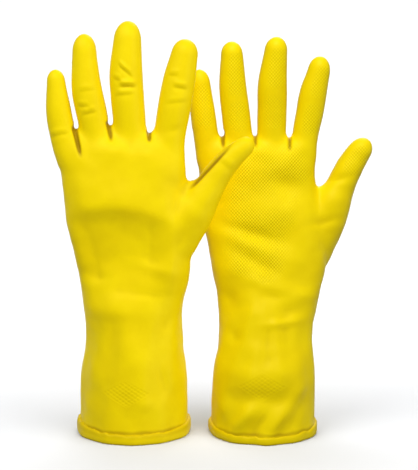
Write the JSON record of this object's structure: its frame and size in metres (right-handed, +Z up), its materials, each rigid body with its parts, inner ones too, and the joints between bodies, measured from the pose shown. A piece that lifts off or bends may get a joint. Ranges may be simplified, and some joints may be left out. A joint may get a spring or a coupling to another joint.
{
  "type": "household rubber gloves",
  "caption": "Pair of long-cuffed household gloves in yellow latex with a cotton flock lining, standing on their cuffs with fingers that bend.",
  "frame": {"origin": "centre of the pair's bounding box, on the floor it stands on", "axes": "+Z up along the fingers, +X from the left glove to the right glove, -Y towards the viewer, who sees the back of the left glove and the palm of the right glove"},
  "size_m": [0.2399, 0.082, 0.306],
  "materials": {
    "yellow_latex": "satin dipped latex",
    "cotton_flock": "short cotton flock"
  },
  "bodies": {
    "left_cuff": {"left_cuff": "yellow_latex", "left_cuff_bead": "yellow_latex"},
    "left_hand": {"left_wrist_band": "yellow_latex", "left_hand": "yellow_latex", "left_hand_lining": "cotton_flock"},
    "left_little_base": {"left_little_base": "yellow_latex", "left_little_knuckle_band": "yellow_latex", "left_little_lining": "cotton_flock"},
    "left_little_tip": {"left_little_tip": "yellow_latex", "left_little_middle_band": "yellow_latex"},
    "left_ring_base": {"left_ring_base": "yellow_latex", "left_ring_knuckle_band": "yellow_latex", "left_ring_lining": "cotton_flock"},
    "left_ring_tip": {"left_ring_tip": "yellow_latex", "left_ring_middle_band": "yellow_latex"},
    "left_middle_base": {"left_middle_base": "yellow_latex", "left_middle_knuckle_band": "yellow_latex", "left_middle_lining": "cotton_flock"},
    "left_middle_tip": {"left_middle_tip": "yellow_latex", "left_middle_middle_band": "yellow_latex"},
    "left_index_base": {"left_index_base": "yellow_latex", "left_index_knuckle_band": "yellow_latex", "left_index_lining": "cotton_flock"},
    "left_index_tip": {"left_index_tip": "yellow_latex", "left_index_middle_band": "yellow_latex"},
    "left_thumb": {"left_thumb": "yellow_latex", "left_thumb_knuckle_band": "yellow_latex", "left_thumb_lining": "cotton_flock"},
    "right_cuff": {"right_cuff": "yellow_latex", "right_cuff_bead": "yellow_latex"},
    "right_hand": {"right_wrist_band": "yellow_latex", "right_hand": "yellow_latex", "right_hand_lining": "cotton_flock"},
    "right_little_base": {"right_little_base": "yellow_latex", "right_little_knuckle_band": "yellow_latex", "right_little_lining": "cotton_flock"},
    "right_little_tip": {"right_little_tip": "yellow_latex", "right_little_middle_band": "yellow_latex"},
    "right_ring_base": {"right_ring_base": "yellow_latex", "right_ring_knuckle_band": "yellow_latex", "right_ring_lining": "cotton_flock"},
    "right_ring_tip": {"right_ring_tip": "yellow_latex", "right_ring_middle_band": "yellow_latex"},
    "right_middle_base": {"right_middle_base": "yellow_latex", "right_middle_knuckle_band": "yellow_latex", "right_middle_lining": "cotton_flock"},
    "right_middle_tip": {"right_middle_tip": "yellow_latex", "right_middle_middle_band": "yellow_latex"},
    "right_index_base": {"right_index_base": "yellow_latex", "right_index_knuckle_band": "yellow_latex", "right_index_lining": "cotton_flock"},
    "right_index_tip": {"right_index_tip": "yellow_latex", "right_index_middle_band": "yellow_latex"},
    "right_thumb": {"right_thumb": "yellow_latex", "right_thumb_knuckle_band": "yellow_latex", "right_thumb_lining": "cotton_flock"}
  },
  "joints": [
    {"name": "left_wrist_bend", "type": "hinge", "parent": "left_cuff", "child": "left_hand", "pos_m": [-0.0591, -0.0256, 0.086], "axis": [1, 0, 0], "range_deg": [0, 30], "stiffness_Nm_per_rad": 0.4, "deforming": ["left_wrist_band", "left_hand_lining"]},
    {"name": "left_little_knuckle_bend", "type": "hinge", "parent": "left_hand", "child": "left_little_base", "pos_m": [-0.10937, -0.00017, 0.22983], "axis": [-0.96, 0.2074, -0.1881], "range_deg": [0, 60], "stiffness_Nm_per_rad": 0.02, "deforming": ["left_little_knuckle_band", "left_little_lining"]},
    {"name": "left_little_middle_bend", "type": "hinge", "parent": "left_little_base", "child": "left_little_tip", "pos_m": [-0.11146, -0.00062, 0.24575], "axis": [-0.9941, 0.0668, -0.0854], "range_deg": [0, 85], "stiffness_Nm_per_rad": 0.015, "deforming": ["left_little_middle_band"]},
    {"name": "left_ring_knuckle_bend", "type": "hinge", "parent": "left_hand", "child": "left_ring_base", "pos_m": [-0.08578, 0.00124, 0.23277], "axis": [-0.9747, 0.0655, -0.2135], "range_deg": [0, 60], "stiffness_Nm_per_rad": 0.02, "deforming": ["left_ring_knuckle_band", "left_ring_lining"]},
    {"name": "left_ring_middle_bend", "type": "hinge", "parent": "left_ring_base", "child": "left_ring_tip", "pos_m": [-0.08947, 0.00153, 0.25064], "axis": [-0.9825, 0.0274, -0.1843], "range_deg": [0, 85], "stiffness_Nm_per_rad": 0.015, "deforming": ["left_ring_middle_band"]},
    {"name": "left_middle_knuckle_bend", "type": "hinge", "parent": "left_hand", "child": "left_middle_base", "pos_m": [-0.06, 0.00189, 0.23471], "axis": [-0.9969, -0.0024, -0.0781], "range_deg": [0, 60], "stiffness_Nm_per_rad": 0.02, "deforming": ["left_middle_knuckle_band", "left_middle_lining"]},
    {"name": "left_middle_middle_bend", "type": "hinge", "parent": "left_middle_base", "child": "left_middle_tip", "pos_m": [-0.06181, 0.00297, 0.25949], "axis": [-0.9983, -0.0031, -0.058], "range_deg": [0, 85], "stiffness_Nm_per_rad": 0.015, "deforming": ["left_middle_middle_band"]},
    {"name": "left_index_knuckle_bend", "type": "hinge", "parent": "left_hand", "child": "left_index_base", "pos_m": [-0.02895, 0.00181, 0.23478], "axis": [-0.963, -0.2069, 0.1728], "range_deg": [0, 60], "stiffness_Nm_per_rad": 0.02, "deforming": ["left_index_knuckle_band", "left_index_lining"]},
    {"name": "left_index_middle_bend", "type": "hinge", "parent": "left_index_base", "child": "left_index_tip", "pos_m": [-0.02579, 0.00234, 0.25266], "axis": [-0.9743, -0.1348, 0.1807], "range_deg": [0, 85], "stiffness_Nm_per_rad": 0.015, "deforming": ["left_index_middle_band"]},
    {"name": "left_thumb_swing", "type": "hinge", "parent": "left_hand", "child": "left_thumb", "pos_m": [0.00221, -0.011, 0.194], "axis": [0, -1, 0], "range_deg": [-15, 25], "stiffness_Nm_per_rad": 0.02, "deforming": ["left_thumb_knuckle_band", "left_thumb_lining"]},
    {"name": "right_wrist_bend", "type": "hinge", "parent": "right_cuff", "child": "right_hand", "pos_m": [0.0389, 0.03169, 0.086], "axis": [-1, 0, 0], "range_deg": [0, 30], "stiffness_Nm_per_rad": 0.4, "deforming": ["right_wrist_band", "right_hand_lining"]},
    {"name": "right_little_knuckle_bend", "type": "hinge", "parent": "right_hand", "child": "right_little_base", "pos_m": [-0.00524, 0.01399, 0.22684], "axis": [0.9711, 0.2069, 0.1191], "range_deg": [0, 60], "stiffness_Nm_per_rad": 0.02, "deforming": ["right_little_knuckle_band", "right_little_lining"]},
    {"name": "right_little_middle_bend", "type": "hinge", "parent": "right_little_base", "child": "right_little_tip", "pos_m": [-0.00708, 0.01423, 0.24175], "axis": [0.9917, 0.0662, 0.1099], "range_deg": [0, 85], "stiffness_Nm_per_rad": 0.015, "deforming": ["right_little_middle_band"]},
    {"name": "right_ring_knuckle_bend", "type": "hinge", "parent": "right_hand", "child": "right_ring_base", "pos_m": [0.01856, 0.01288, 0.22975], "axis": [0.9906, 0.0667, 0.1198], "range_deg": [0, 60], "stiffness_Nm_per_rad": 0.02, "deforming": ["right_ring_knuckle_band", "right_ring_lining"]},
    {"name": "right_ring_middle_bend", "type": "hinge", "parent": "right_ring_base", "child": "right_ring_tip", "pos_m": [0.01624, 0.01261, 0.24763], "axis": [0.9897, 0.0289, 0.1403], "range_deg": [0, 85], "stiffness_Nm_per_rad": 0.015, "deforming": ["right_ring_middle_band"]},
    {"name": "right_middle_knuckle_bend", "type": "hinge", "parent": "right_hand", "child": "right_middle_base", "pos_m": [0.04443, 0.01292, 0.2307], "axis": [0.9999, 0.0005, -0.0139], "range_deg": [0, 60], "stiffness_Nm_per_rad": 0.02, "deforming": ["right_middle_knuckle_band", "right_middle_lining"]},
    {"name": "right_middle_middle_bend", "type": "hinge", "parent": "right_middle_base", "child": "right_middle_tip", "pos_m": [0.04482, 0.0121, 0.2535], "axis": [0.9996, 0.0018, -0.0295], "range_deg": [0, 85], "stiffness_Nm_per_rad": 0.015, "deforming": ["right_middle_middle_band"]},
    {"name": "right_index_knuckle_bend", "type": "hinge", "parent": "right_hand", "child": "right_index_base", "pos_m": [0.07123, 0.01376, 0.22979], "axis": [0.9528, -0.2068, -0.2223], "range_deg": [0, 60], "stiffness_Nm_per_rad": 0.02, "deforming": ["right_index_knuckle_band", "right_index_lining"]},
    {"name": "right_index_middle_bend", "type": "hinge", "parent": "right_index_base", "child": "right_index_tip", "pos_m": [0.07454, 0.01328, 0.24767], "axis": [0.977, -0.1337, -0.1659], "range_deg": [0, 85], "stiffness_Nm_per_rad": 0.015, "deforming": ["right_index_middle_band"]},
    {"name": "right_thumb_swing", "type": "hinge", "parent": "right_hand", "child": "right_thumb", "pos_m": [0.09974, 0.025, 0.189], "axis": [0, -1, 0], "range_deg": [-15, 25], "stiffness_Nm_per_rad": 0.02, "deforming": ["right_thumb_knuckle_band", "right_thumb_lining"]},
    {"name": "pair_part", "type": "slide", "parent": "left_cuff", "child": "right_cuff", "axis": [1, 0, 0], "range_m": [0, 0.15]}
  ]
}
